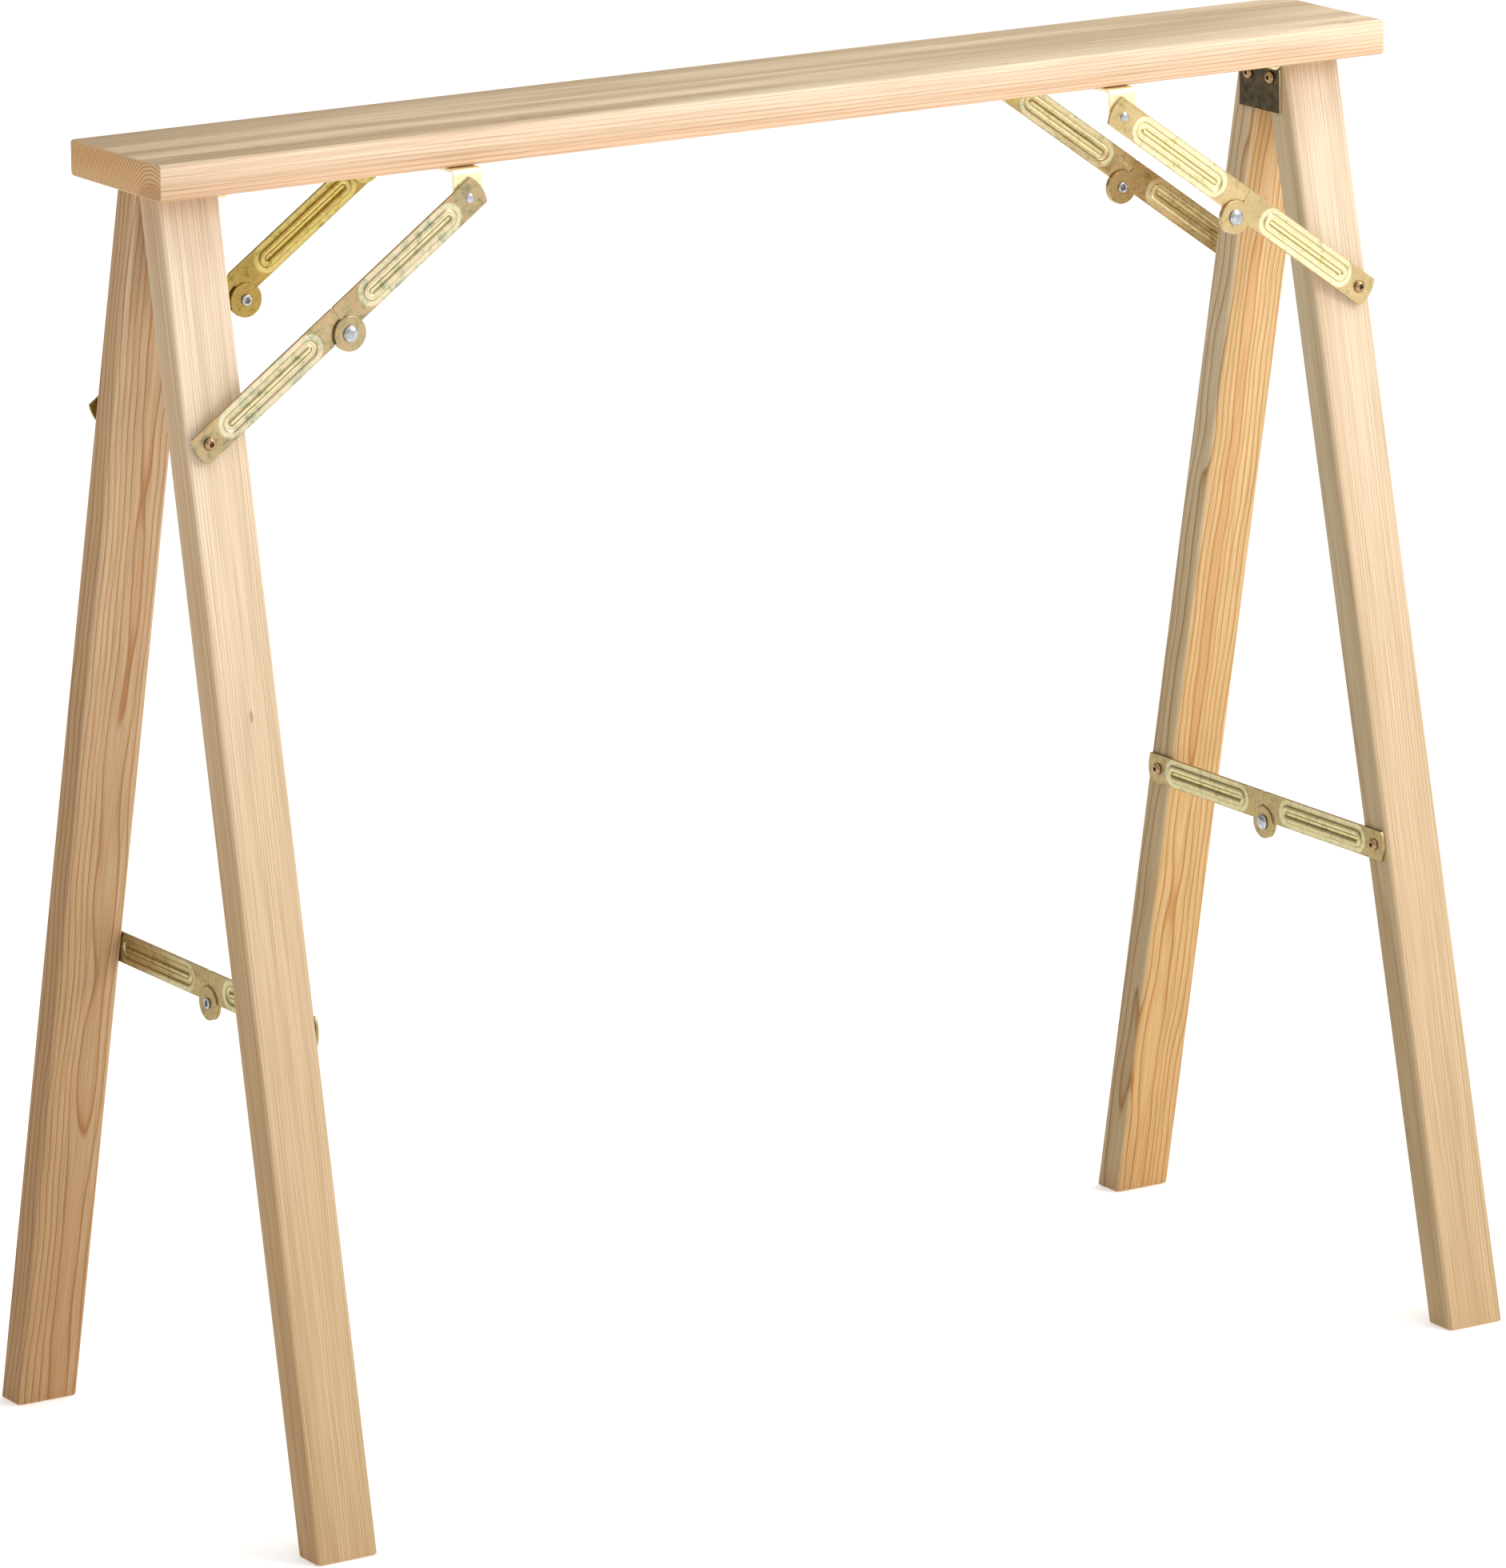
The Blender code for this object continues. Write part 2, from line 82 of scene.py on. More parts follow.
def end_frame(end, leaned=False):
    """Matrix, in millimetres, from an end's own frame, at its hinge pin, to the world."""
    sign, turn = (1.0, 0.0) if end == "right" else (-1.0, math.pi)
    base = Matrix.Translation((sign * PIN_X, 0.0, PIN_Z)) @ Matrix.Rotation(turn, 4, "Z")
    return base @ Matrix.Rotation(-LEAN, 4, "Y") if leaned else base


def axes(origin, a, b):
    """Matrix whose x runs along a and whose y runs along b."""
    a, b = Vector(a).normalized(), Vector(b).normalized()
    return Matrix.Translation(origin) @ Matrix((a, b, a.cross(b))).transposed().to_4x4()


def along(axis):
    """Matrix that turns z to the axis."""
    return Vector((0.0, 0.0, 1.0)).rotation_difference(Vector(axis)).to_matrix().to_4x4()


# ---- materials --------------------------------------------------------------------------------
WHITE, BLACK = (1.0, 1.0, 1.0), (0.0, 0.0, 0.0)


class Graph:
    """Short names for building one material's nodes."""

    def __init__(self, name):
        self.material = bpy.data.materials.new(name)
        self.material.use_nodes = True
        self.tree = self.material.node_tree
        self.shader = self.tree.nodes["Principled BSDF"]

    def add(self, kind, settings=None, **inputs):
        """A new node; an input is given by its name, or as i0, i1 by its number."""
        made = self.tree.nodes.new(kind)
        for key, value in (settings or {}).items():
            setattr(made, key, value)
        for key, value in inputs.items():
            numbered = key[0] == "i" and key[1:].isdigit()
            self.put(made.inputs[int(key[1:]) if numbered else key], value)
        return made

    def put(self, socket, value):
        if isinstance(value, bpy.types.NodeSocket):
            self.tree.links.new(value, socket)
        else:
            socket.default_value = value

    def calc(self, operation, a, b=0.0, clamp=False):
        settings = {"operation": operation, "use_clamp": clamp}
        return self.add("ShaderNodeMath", settings, i0=a, i1=b).outputs[0]

    def vector(self, operation, a, b):
        return self.add("ShaderNodeVectorMath", {"operation": operation}, i0=a, i1=b).outputs[0]

    def split(self, vector):
        return self.add("ShaderNodeSeparateXYZ", None, Vector=vector).outputs

    def reach(self, a, b):
        """The distance from the origin of a point at a, b."""
        return self.calc("SQRT", self.calc("ADD", self.calc("POWER", a, 2.0), self.calc("POWER", b, 2.0)))

    def scaled(self, vector, scale, location=(0, 0, 0), rotation=(0, 0, 0)):
        return self.add("ShaderNodeMapping", None, Vector=vector, Scale=scale, Location=location,
                        Rotation=rotation).outputs[0]

    def noise(self, vector, scale=1.0, detail=3.0, roughness=0.55):
        return self.add("ShaderNodeTexNoise", None, Vector=vector, Scale=scale, Detail=detail,
                        Roughness=roughness).outputs[0]

    def ramp(self, factor, stops):
        made = self.add("ShaderNodeValToRGB", None, Fac=factor)
        line = made.color_ramp
        while len(line.elements) < len(stops):
            line.elements.new(0.5)
        for element, (place, colour) in zip(line.elements, stops):
            element.position = place
            element.color = (*colour, 1.0)
        return made.outputs[0]

    def mix(self, kind, factor, a, b):
        made = self.add("ShaderNodeMix", {"data_type": "RGBA", "blend_type": kind})
        self.put(made.inputs[0], factor)
        self.put(made.inputs[6], (*a, 1.0) if isinstance(a, tuple) else a)
        self.put(made.inputs[7], (*b, 1.0) if isinstance(b, tuple) else b)
        return made.outputs[2]

    def tint(self, base, factor, stops):
        """The base colour multiplied by a ramp's."""
        return self.mix("MULTIPLY", 1.0, base, self.ramp(factor, stops))

    def surface(self, colour, roughness, metal):
        self.put(self.shader.inputs["Base Color"], colour)
        self.put(self.shader.inputs["Roughness"], roughness)
        self.put(self.shader.inputs["Metallic"], metal)

    def bump(self, height, strength, distance):
        made = self.add("ShaderNodeBump", None, Height=height, Strength=strength, Distance=distance)
        self.put(self.shader.inputs["Normal"], made.outputs[0])


PALE, WARM, LATEWOOD = (0.90, 0.755, 0.575), (0.86, 0.655, 0.430), (0.60, 0.32, 0.11)


def growth_rings(g, sawn, shifted, uneven, ring, wave):
    """How far each point lies from the wandering pith, and its place within its own ring."""
    wander = g.scaled(shifted, (0.8 + 0.32 * wave, 15.0, 15.0))
    drift = g.add("ShaderNodeTexNoise", None, Vector=wander, Scale=1.0, Detail=2.0, Roughness=0.5)
    pull = g.vector("SUBTRACT", drift.outputs["Color"], (0.5, 0.5, 0.5))
    pulled = g.vector("MULTIPLY", pull, (0.0, wave * MM, wave * MM))
    bent = g.split(g.vector("ADD", sawn, pulled))
    radius = g.reach(bent[1], bent[2])
    count = g.calc("ADD", g.calc("DIVIDE", radius, ring * MM), g.calc("MULTIPLY", uneven, 1.6))
    return radius, g.calc("FRACT", count)


def end_grain(g, rings, part, red, pores, colour):
    """A board's sawn ends, darker than its faces and with the rings at their strongest."""
    lit = (1.06, 1.06, 1.06)
    base = g.mix("MULTIPLY", 1.0, g.mix("MIX", 0.9, PALE, rings), colour)
    base = g.tint(base, part, [(0.0, lit), (0.55, lit), (0.88, (0.68, 0.58, 0.46)), (1.0, lit)])
    base = g.mix("MIX", g.calc("MULTIPLY", red, 0.70), base, (0.44, 0.22, 0.10))
    return g.tint(base, pores, [(0.35, (0.80, 0.76, 0.70)), (0.60, WHITE)])


def timber(name, tints, light_fade, pith, tilt, ring, seed, heart, figure, wave, streak=0.0):
    """Planed pine as a solid of growth rings, x along the grain, in the board's own coordinates.

    tints are the colours that the faces +z, -z, +y, -y and the ends are multiplied by: partly the wood's
    own tone, partly painted shade on faces turned from the light. fade is where along x, in metres, the
    colour drifts from its first stop to its last, a painted gradient of light and shade. pith is where the
    heart runs, tilt how the board was sawn across it, ring the ring width and heart how far from the pith
    the wood is reddish. figure is how strongly the rings show, wave how far, in millimetres, they wander
    and streak how strongly the +z face has greyed.
    """
    g = Graph(name)
    coord = g.add("ShaderNodeTexCoord")
    place, normal = coord.outputs["Object"], g.split(coord.outputs["Normal"])
    sawn = g.scaled(place, (1, 1, 1), (0.0, -pith[0] * MM, -pith[1] * MM), (0.0, tilt[0], tilt[1]))
    shifted = g.vector("ADD", sawn, (seed, seed * 0.7, seed * 1.3))

    def grain(lengthways, across, detail, roughness=0.55):
        return g.noise(g.scaled(shifted, (lengthways, across, across)), 1.0, detail, roughness)

    radius, part = growth_rings(g, sawn, shifted, grain(0.8, 40.0, 1.0), ring, wave)
    rings = g.ramp(part, [(0.0, PALE), (0.38, PALE), (0.72, WARM), (0.90, LATEWOOD), (1.0, PALE)])
    red = g.ramp(g.calc("DIVIDE", radius, heart * MM * 1.25), [(0.62, WHITE), (0.84, BLACK)])
    red_wood = g.mix("MULTIPLY", 1.0, rings, (0.86, 0.64, 0.46))
    base = g.mix("MIX", g.calc("MULTIPLY", red, 0.45), g.mix("MIX", figure, PALE, rings), red_wood)

    # painted light and shade: the colour drifts along the board's length the way the light falls on it
    low, high, colours = light_fade
    run = g.add("ShaderNodeMapRange", None, Value=g.split(place)[0], i1=low, i2=high)
    base = g.tint(base, run.outputs[0], [(i / (len(colours) - 1), c) for i, c in enumerate(colours)])
    fibre = grain(9.0, 900.0, 3.0, 0.6)
    base = g.tint(base, fibre, [(0.32, (0.80, 0.76, 0.70)), (0.60, (1.03, 1.03, 1.03))])
    band = grain(1.1, 55.0, 2.0, 0.5)
    base = g.tint(base, band, [(0.30, (0.90, 0.85, 0.78)), (0.60, (1.02, 1.0, 0.98))])

    cells = g.scaled(shifted, (9.0, 26.0, 26.0))
    spots = g.add("ShaderNodeTexVoronoi", {"feature": "F1"}, Vector=cells, Scale=1.0)
    knot = g.ramp(spots.outputs["Distance"], [(0.018, WHITE), (0.050, BLACK)])
    base = g.mix("MIX", g.calc("MULTIPLY", knot, 0.75), base, (0.36, 0.20, 0.10))

    # per-face tints: partly the wood's own tone, partly painted shade on the faces turned from the light
    facing = {}
    for axis, sign, key in ((2, 1.0, "+z"), (2, -1.0, "-z"), (1, 1.0, "+y"), (1, -1.0, "-y")):
        facing[key] = g.calc("POWER", g.calc("MULTIPLY", normal[axis], sign, True), 3.0)
        base = g.mix("MULTIPLY", facing[key], base, tints[key])
    if streak:
        worn = g.ramp(grain(1.3, 34.0, 4.0, 0.6), [(0.40, BLACK), (0.60, WHITE)])
        greyed = g.calc("MULTIPLY", g.calc("MULTIPLY", facing["+z"], streak), worn)
        base = g.mix("MULTIPLY", greyed, base, (0.66, 0.60, 0.53))
    deep = end_grain(g, rings, part, red, grain(1400.0, 1400.0, 2.0), tints["end"])
    base = g.mix("MIX", g.calc("POWER", g.calc("ABSOLUTE", normal[0]), 4.0), base, deep)

    g.surface(base, g.calc("ADD", g.calc("MULTIPLY", fibre, 0.20), 0.52), 0.0)
    g.shader.inputs["Specular IOR Level"].default_value = 0.30
    g.bump(g.calc("ADD", g.calc("MULTIPLY", part, 0.25), fibre), 0.35, 0.25 * MM)
    return g.material


# painted shade at the pressed oval's edges and in its sunk middle, and painted highlights on its rims and
# crest, out to the reach in millimetres below
OVAL_SHADE_REACH = 11.0
OVAL_SHADE_AND_HIGHLIGHT = [(0.0, (1.15, 1.12, 0.95)), (0.07, (0.95, 0.92, 0.76)), (0.12, (0.42, 0.38, 0.26)),
        (0.20, (0.70, 0.66, 0.52)), (0.27, (1.10, 1.10, 1.06)), (0.36, (0.92, 0.90, 0.80)),
        (0.46, (0.94, 0.92, 0.84)), (0.51, (1.22, 1.20, 1.16)), (0.555, (0.46, 0.42, 0.30)),
        (0.63, (0.80, 0.77, 0.66)), (0.70, (0.97, 0.97, 0.95)), (0.90, (0.97, 0.97, 0.95)),
        (1.0, (0.66, 0.56, 0.44))]


def zinc(name, stops, speck, rough, seed, oval=None):
    """Yellow-passivated zinc: drifting iridescent tints, fine dark specks and a soft sheen.

    oval is where an arm's pressed oval runs along its own x; around it the colour gets painted shade in the
    grooves and painted highlights on the rims and crest.
    """
    g = Graph(name)
    coord = g.add("ShaderNodeTexCoord")
    place = g.scaled(coord.outputs["Object"], (1, 1, 1), (seed, seed * 0.6, seed * 0.3))
    cloud = g.noise(place, 130.0, 4.0, 0.65)
    fine = g.noise(place, 900.0, 3.0, 0.6)
    blend = g.calc("ADD", g.calc("MULTIPLY", cloud, 0.78), g.calc("MULTIPLY", fine, 0.22))
    base = g.ramp(blend, [(0.36 + 0.28 * i / (len(stops) - 1), c) for i, c in enumerate(stops)])
    specks = g.noise(place, 1700.0, 2.0, 0.7)
    dots = g.ramp(specks, [(0.58, BLACK), (0.70, WHITE)])
    patches = g.ramp(g.noise(place, 160.0, 2.0), [(0.42, BLACK), (0.62, WHITE)])
    mask = g.calc("MULTIPLY", dots, g.calc("MULTIPLY", patches, speck))
    base = g.mix("MIX", mask, base, (0.17, 0.17, 0.11))
    # painted shade and painted highlights across the pressed oval, by the distance from its middle line
    if oval:
        at = g.split(coord.outputs["Object"])
        before = g.calc("SUBTRACT", oval[0] * MM, at[0])
        beyond = g.calc("SUBTRACT", at[0], oval[1] * MM)
        past = g.calc("MAXIMUM", g.calc("MAXIMUM", before, beyond), 0.0)
        base = g.tint(base, g.calc("DIVIDE", g.reach(past, at[1]), OVAL_SHADE_REACH * MM), OVAL_SHADE_AND_HIGHLIGHT)
    g.surface(base, g.calc("ADD", g.calc("MULTIPLY", fine, 0.30), rough - 0.15), 0.9)
    g.bump(g.calc("ADD", fine, g.calc("MULTIPLY", specks, 0.5)), 0.10, 0.2 * MM)
    return g.material


def plated(name, dark, light, rough, metal, scale, edge=None, shaded_socket=0.0):
    """Dark or bright plating with worn patches.

    edge is the colour of its cut sides along y, and well the radius of the socket at -z, painted dark
    inside as shade.
    """
    g = Graph(name)
    coord = g.add("ShaderNodeTexCoord")
    cloud = g.noise(coord.outputs["Object"], scale, 4.0, 0.65)
    fine = g.noise(coord.outputs["Object"], scale * 7.0, 2.0, 0.6)
    blend = g.calc("ADD", g.calc("MULTIPLY", cloud, 0.7), g.calc("MULTIPLY", fine, 0.3))
    base = g.ramp(blend, [(0.38, dark), (0.64, light)])
    if edge:
        sides = g.calc("ABSOLUTE", g.split(coord.outputs["Normal"])[1])
        base = g.mix("MIX", g.calc("POWER", sides, 4.0), base, edge)
    # painted shade: the recessed socket darkened
    if shaded_socket:
        at = g.split(coord.outputs["Object"])
        inside = g.ramp(g.calc("DIVIDE", g.reach(at[0], at[1]), shaded_socket * 2 * MM),
                        [(0.44, WHITE), (0.54, BLACK)])
        inside = g.calc("MULTIPLY", inside, g.calc("LESS_THAN", at[2], -0.4 * MM))
        base = g.mix("MIX", g.calc("MULTIPLY", inside, 0.88), base, (0.05, 0.035, 0.02))
    g.surface(base, g.calc("ADD", g.calc("MULTIPLY", fine, 0.25), rough - 0.1), metal)
    g.bump(fine, 0.12, 0.1 * MM)
    return g.material


# the tints that drift over each strip, in the order of the clouding noise
GREEN = [(0.38, 0.38, 0.27), (0.54, 0.53, 0.36), (0.70, 0.64, 0.42), (0.80, 0.65, 0.47), (0.66, 0.63, 0.46)]
CREAM = [(0.66, 0.58, 0.30), (0.84, 0.76, 0.44), (0.94, 0.86, 0.56), (0.90, 0.74, 0.44), (0.88, 0.82, 0.56)]
GOLD = [(0.36, 0.28, 0.07), (0.54, 0.43, 0.12), (0.64, 0.53, 0.18), (0.58, 0.41, 0.14), (0.46, 0.40, 0.17)]
BRASS = [(0.56, 0.50, 0.28), (0.74, 0.67, 0.40), (0.88, 0.80, 0.52), (0.80, 0.64, 0.38), (0.68, 0.63, 0.40)]
OLIVE = [(0.38, 0.34, 0.16), (0.55, 0.50, 0.26), (0.66, 0.60, 0.34), (0.58, 0.47, 0.26), (0.48, 0.46, 0.28)]
ZINC = {
    ("left", "front"): zinc("zinc_left_front", GREEN, 0.75, 0.36, 0.11, STAY_OVAL),
    ("right", "front"): zinc("zinc_right_front", CREAM, 0.15, 0.30, 0.37, STAY_OVAL),
    ("left", "back"): zinc("zinc_left_back", GOLD, 0.30, 0.30, 0.53, STAY_OVAL),
    ("right", "back"): zinc("zinc_right_back", BRASS, 0.25, 0.30, 0.71, STAY_OVAL),
    "cross": zinc("zinc_cross", OLIVE, 0.35, 0.36, 0.91, CROSS_OVAL),
    "hinge": zinc("zinc_hinge", CREAM, 0.35, 0.40, 0.23),
    "front_bracket": zinc("zinc_front_bracket", CREAM, 0.45, 0.38, 0.47),
    "back_bracket": zinc("zinc_back_bracket", GOLD, 0.30, 0.34, 0.61),
}
BRONZE = plated("bronze_screw", (0.26, 0.15, 0.07), (0.66, 0.44, 0.24), 0.28, 1.0, 400.0, shaded_socket=1.75)
DARK = plated("dark_leaf", (0.032, 0.023, 0.009), (0.11, 0.08, 0.03), 0.32, 0.95, 160.0,
              edge=(0.80, 0.70, 0.50))
STEEL = plated("rivet_steel", (0.34, 0.35, 0.36), (0.64, 0.65, 0.67), 0.26, 1.0, 300.0)


# ---- meshes -----------------------------------------------------------------------------------
def arc(centre, radius, start, end, steps):
    """Points of an arc between two angles in degrees, both ends included."""
    found = []
    for i in range(steps + 1):
        turn = math.radians(start + (end - start) * i / steps)
        found.append((centre[0] + radius * math.cos(turn), centre[1] + radius * math.sin(turn)))
    return found


def circle(radius, steps):
    return arc((0.0, 0.0), radius, 0.0, 360.0 * (steps - 1) / steps, steps - 1)


def stadium(low, high, reach, steps=10):
    """Outline at one distance round the line from x = low to x = high."""
    return arc((high, 0.0), reach, -90.0, 90.0, steps) + arc((low, 0.0), reach, 90.0, 270.0, steps)


def rounded(half_u, half_v, radius, shrink=0.0, steps=6):
    """Rectangle with round corners, drawn in by shrink on every side."""
    points = []
    for quarter, (su, sv) in enumerate(((1, 1), (-1, 1), (-1, -1), (1, -1))):
        centre = (su * (half_u - radius), sv * (half_v - radius))
        points += arc(centre, radius - shrink, quarter * 90.0, quarter * 90.0 + 90.0, steps)
    return points


def new_mesh(name, points, faces):
    """Mesh from points in millimetres, its faces turned to point out."""
    mesh = bpy.data.meshes.new(name)
    mesh.from_pydata([Vector(p) * MM for p in points], [], faces)
    work = bmesh.new()
    work.from_mesh(mesh)
    bmesh.ops.recalc_face_normals(work, faces=work.faces)
    if work.calc_volume(signed=True) < 0:
        bmesh.ops.reverse_faces(work, faces=work.faces)
    work.to_mesh(mesh)
    work.free()
    return mesh


def wall(first, second):
    """Faces between two closed loops of point numbers of the same length."""
    count = len(first)
    return [(first[i], first[(i + 1) % count], second[(i + 1) % count], second[i]) for i in range(count)]


def lathe(profile, steps=40):
    """A turned solid round z from (radius, z) pairs; a radius may be a function of the angle."""
    points, rows = [], []
    for radius, level in profile:
        if not callable(radius) and radius < 1e-6:
            rows.append([len(points)] * steps)
            points.append((0.0, 0.0, level))
            continue
        rows.append(list(range(len(points), len(points) + steps)))
        for i in range(steps):
            turn = 2 * math.pi * i / steps
            reach = radius(turn) if callable(radius) else radius
            points.append((reach * math.cos(turn), reach * math.sin(turn), level))
    faces = []
    for below, above in zip(rows, rows[1:]):
        # a row of one repeated point closes the solid with triangles
        faces += [tuple(dict.fromkeys(face)) for face in wall(below, above)]
    return new_mesh("turned", points, faces)


def carve(base, steps):
    """The base mesh after Booleans with other meshes, each step an operation and a mesh."""
    body = bpy.data.objects.new("body", base)
    bpy.context.scene.collection.objects.link(body)
    helpers = []
    for operation, mesh in steps:
        helper = bpy.data.objects.new("helper", mesh)
        bpy.context.scene.collection.objects.link(helper)
        helpers.append(helper)
        change = body.modifiers.new("Carve", "BOOLEAN")
        change.operation = operation
        change.solver = "EXACT"
        change.object = helper
    graph = bpy.context.evaluated_depsgraph_get()
    result = bpy.data.meshes.new_from_object(body.evaluated_get(graph))
    for old in [body] + helpers:
        bpy.data.objects.remove(old, do_unlink=True)
    return result


def board(rows, cuts, half, radius):
    """A board along x, its arrises rounded and its ends eased.

    cuts are its two ends, each where it crosses the x axis and the normal of its plane.
    """
    (low, low_normal), (high, high_normal) = cuts
    ease = 0.9
    easing = ((0.0, ease), (0.35, ease * 0.35), (ease, 0.0))

    def crossing(level, normal, u, v):
        return level - (normal.y * u + normal.z * v) / normal.x

    sections = []
    for shift, shrink in easing:
        corners = rounded(*half, radius, shrink)
        sections.append([(crossing(low, low_normal, u, v) + shift, u, v) for u, v in corners])
    for i in range(1, rows):
        section = []
        for u, v in rounded(*half, radius):
            a, b = crossing(low, low_normal, u, v), crossing(high, high_normal, u, v)
            section.append((a + (b - a) * i / rows, u, v))
        sections.append(section)
    for shift, shrink in reversed(easing):
        corners = rounded(*half, radius, shrink)
        sections.append([(crossing(high, high_normal, u, v) - shift, u, v) for u, v in corners])
    count = len(sections[0])
    loops = [list(range(s * count, s * count + count)) for s in range(len(sections))]
    faces = [tuple(loops[0]), tuple(reversed(loops[-1]))]
    for first, second in zip(loops, loops[1:]):
        faces += wall(first, second)
    return new_mesh("board", [p for section in sections for p in section], faces)


def strip(half, relief):
    """An arm's strip with its pressed oval: end pivot at the origin, straight to the seam."""
    edge = STRIP_WIDE / 2
    reach = half - GAP / 2
    bulge, corner = 2.6, 0.8
    bow = (edge * edge + bulge * bulge) / (2 * bulge)
    turn = math.degrees(math.asin(edge / bow))
    outline = [(reach, -edge), (reach, edge - corner), (reach - corner, edge)]
    outline += arc((bow - STRIP_OVER, 0.0), bow, 180.0 - turn, 180.0 + turn, 10)
    low, high = OVAL_START, half - OVAL_END
    loops = [outline, circle(END_HOLE, 24), stadium(low, high, RELIEF[0][0])]
    flat = [p for loop in loops for p in loop]
    count = len(flat)
    points = [(x, y, -SHEET / 2) for x, y in flat] + [(x, y, SHEET / 2) for x, y in flat]
    faces = []
    for triangle in tessellate_polygon([[Vector((p[0], p[1], 0.0)) for p in loop] for loop in loops]):
        faces.append(tuple(triangle))
        faces.append(tuple(i + count for i in reversed(triangle)))
    start = 0
    for loop in loops[:2]:
        below = list(range(start, start + len(loop)))
        faces += wall(below, [i + count for i in below])
        start += len(loop)
    ring = len(loops[2])
    for side, base in ((-1.0, start), (1.0, start + count)):
        last = list(range(base, base + ring))
        for distance, height in RELIEF[1:]:
            here = list(range(len(points), len(points) + ring))
            points += [(x, y, side * SHEET / 2 + relief * height) for x, y in stadium(low, high, distance)]
            faces += wall(last, here)
            last = here
        faces.append(tuple(last))
    return new_mesh("strip", points, faces)


def arm(half, relief):
    """Pressed strip arm: end pivot at the origin, knee at (half, -KNEE_DROP), disc towards -z.

    relief is +1 or -1: the side the long oval with its sunk middle line is pressed towards.
    """
    bottom, top = -SHEET - DISC_IN, -DISC_IN
    ease, above = 0.35, 3.0
    knee = Matrix.Translation(Vector((half, -KNEE_DROP, 0.0)) * MM)
    disc = lathe([(0.0, bottom), (DISC_R - ease, bottom), (DISC_R, bottom + ease), (DISC_R, top),
                  (0.0, top)], 56)
    recess = lathe([(0.0, top), (RECESS_R, top), (RECESS_R + RECESS_FLARE, SHEET / 2 + 0.05),
                    (RECESS_R + RECESS_FLARE, above), (0.0, above)], 56)
    hole = lathe([(0.0, -5.0), (KNEE_HOLE, -5.0), (KNEE_HOLE, 5.0), (0.0, 5.0)], 24)
    for cutter in (disc, recess, hole):
        cutter.transform(knee)
    return carve(strip(half, relief), [("DIFFERENCE", recess), ("UNION", disc), ("DIFFERENCE", hole)])


def torx(reach):
    """The radius of a six-lobed socket, as a function of the angle."""
    return lambda turn: reach * (1.0 + 0.17 * math.cos(6 * turn))


def pan_screw(length, threads=0):
    """Pan head with a six-lobed recess at -z, seat at the origin, shank towards +z."""
    root, pitch = SHANK_R - 0.35, 1.1
    profile = [(0.0, -HEAD_H + 1.5), (torx(1.05), -HEAD_H + 1.5), (torx(1.55), -HEAD_H + 1.2),
               (torx(1.75), -HEAD_H + 0.02), (2.3, -HEAD_H), (3.0, -HEAD_H * 0.93), (3.7, -HEAD_H * 0.76),
               (4.2, -HEAD_H * 0.53), (HEAD_R - 0.08, -HEAD_H * 0.22), (HEAD_R, -HEAD_H * 0.08),
               (HEAD_R - 0.1, 0.0), (SHANK_R, 0.0)]
    for i in range(threads):
        z = 0.4 + pitch * i
        profile += [(root, z), (SHANK_R, z + 0.45), (root, z + 0.9)]
    profile += [(root, length - 0.8), (SHANK_R * 0.4, length), (0.0, length)]
    return lathe(profile, 48)


def leg_shank():
    """The threaded end that stays in a leg, towards +z."""
    threads = [(1.55 + 0.45 * (i % 2), 0.5 + 0.55 * i) for i in range(24)]
    return lathe([(0.0, 0.0), (1.3, 0.05)] + threads + [(0.0, 14.0)], 24)


def knee_rivet():
    """Domed at +z and rolled over a hollow end at -z, with the seam of the two discs at z = 0."""
    seat = SHEET + DISC_IN + GAP
    shank = KNEE_HOLE - GAP
    dome = []
    for angle in (0, 12, 24, 36, 48, 60, 70, 79, 86, 90):
        turn = math.radians(angle)
        dome.append((5.75 * math.sin(turn), seat + 0.25 + 2.35 * math.cos(turn)))
    rolled = [(3.9, 0.0), (4.0, -0.45), (3.75, -0.95), (3.25, -1.2), (2.6, -1.15), (2.15, -0.8),
              (1.95, -0.3), (1.9, 2.0), (0.0, 2.0)]
    return lathe(dome + [(5.6, seat), (shank, seat), (shank, -seat)] + [(r, z - seat) for r, z in rolled])


def top_rivet():
    """A low dome over the arm at +z and a flat one behind the bracket's ear at -z."""
    out, back = SHEET / 2 + GAP, -SHEET / 2 - 2 * GAP - SHEET
    dome = [(0.0, out + 1.1), (1.2, out + 1.06), (2.3, out + 0.85), (3.0, out + 0.45), (3.35, out)]
    foot = [(3.2, back), (3.0, back - 0.5), (2.3, back - 0.9), (0.0, back - 0.9)]
    return lathe(dome + [(2.0, out), (2.0, back)] + foot)


# ---- pieces -----------------------------------------------------------------------------------
SHARP, BOARD_SHARP = 35.0, 60.0  # degrees over which an edge is drawn sharp


def soften(thing, width):
    edges = thing.modifiers.new("Edges", "BEVEL")
    edges.width = width * MM
    edges.segments = 2
    edges.limit_method = "ANGLE"
    edges.angle_limit = math.radians(40.0)


def piece(name, mesh, material, body, matrix, replaces, bevel=0.0, angle=SHARP):
    """A finished piece: placed in millimetres, riding on its body and standing for CAD nodes."""
    own = mesh.copy()
    own.name = name
    own.materials.clear()
    own.materials.append(material)
    own.shade_smooth()
    own.set_sharp_from_angle(angle=math.radians(angle))
    made = bpy.data.objects.new(name, own)
    bpy.context.scene.collection.objects.link(made)
    placed = matrix.copy()
    placed.translation = placed.translation * MM
    made.matrix_world = placed
    if bevel:
        soften(made, bevel)
    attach(made, body)
    if replaces:
        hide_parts(*replaces)


def coat(node_name, material):
    """Gives a CAD node that stays in view its material."""
    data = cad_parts[node_name].data
    data.materials.clear()
    data.materials.append(material)


